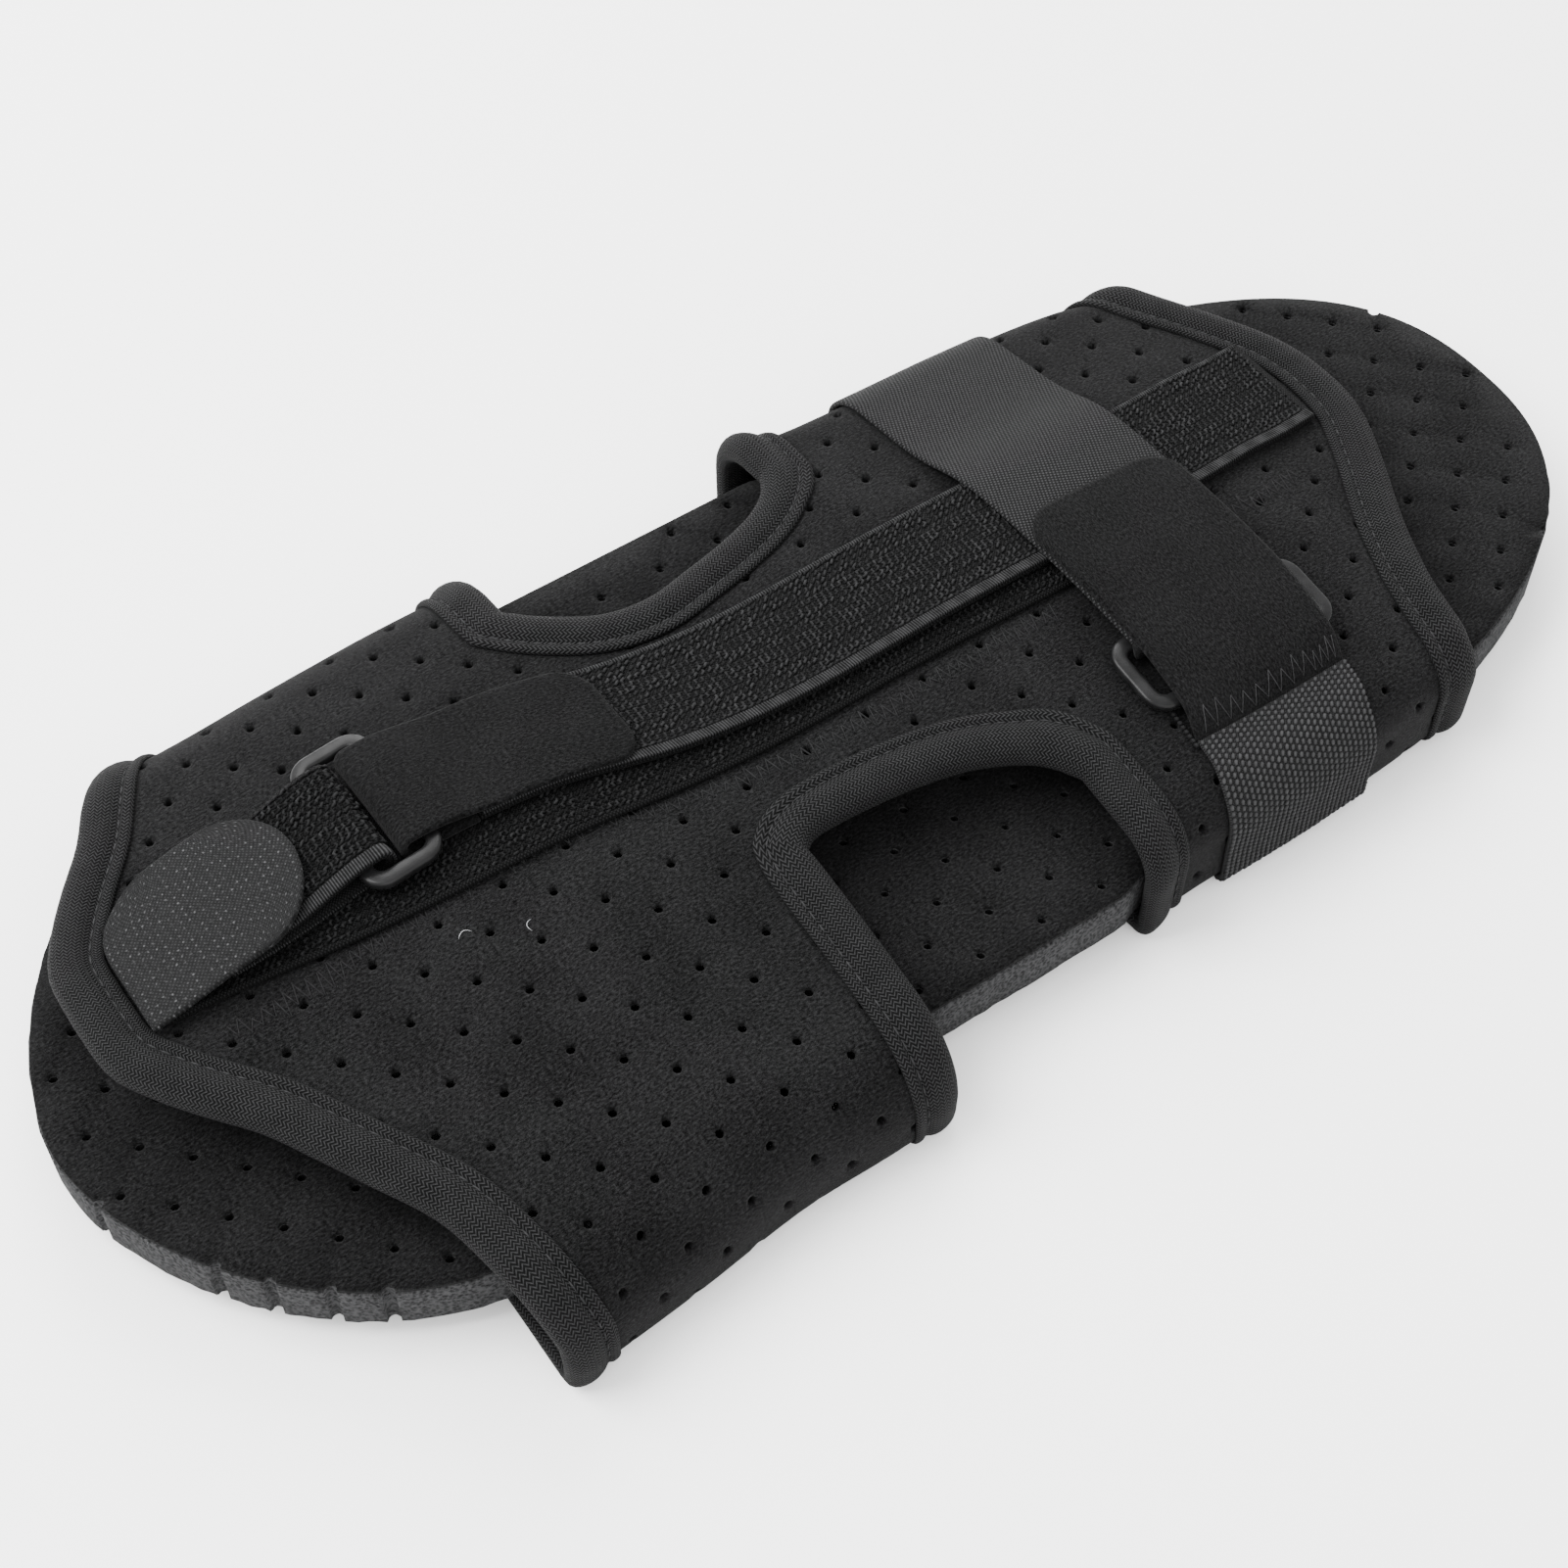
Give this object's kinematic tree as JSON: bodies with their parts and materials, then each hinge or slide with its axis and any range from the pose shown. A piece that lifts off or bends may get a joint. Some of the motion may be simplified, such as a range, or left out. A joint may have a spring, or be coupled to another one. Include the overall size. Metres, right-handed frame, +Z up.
{
  "type": "foot drop orthosis",
  "caption": "Padded foot board inside a flocked wrap that closes round it in two bands, with side cut-outs, a long strap along the top and a wide strap across it.",
  "frame": {"origin": "on the floor, under the middle of the part's bounding box", "axes": "+X along the foot board towards its long rounded end, +Y across the board towards the far side, +Z up from the floor"},
  "size_m": [0.339, 0.1602, 0.0405],
  "materials": {
    "flock": "flocked, perforated",
    "foam": "cut foam",
    "binding": "knitted twill tape",
    "loop_pile": "loop pile",
    "velvet": "short velvet",
    "grey_weave": "fine woven",
    "webbing": "coarse woven",
    "ring_plastic": "satin"
  },
  "bodies": {
    "root": {"pad_bottom_cover": "flock", "pad_core": "foam", "pad_top_cover": "flock", "wrap": "flock", "left_end_binding": "binding", "side_opening_binding": "binding", "right_end_binding": "binding", "base_loop_strip": "loop_pile", "long_strap": "loop_pile", "long_strap_tab": "velvet", "ring_loop_strap": "loop_pile", "small_ring": "ring_plastic", "hook_patch": "grey_weave", "wide_strap": "grey_weave", "wide_strap_tab": "velvet", "front_webbing": "webbing", "large_ring": "ring_plastic"}
  },
  "joints": []
}
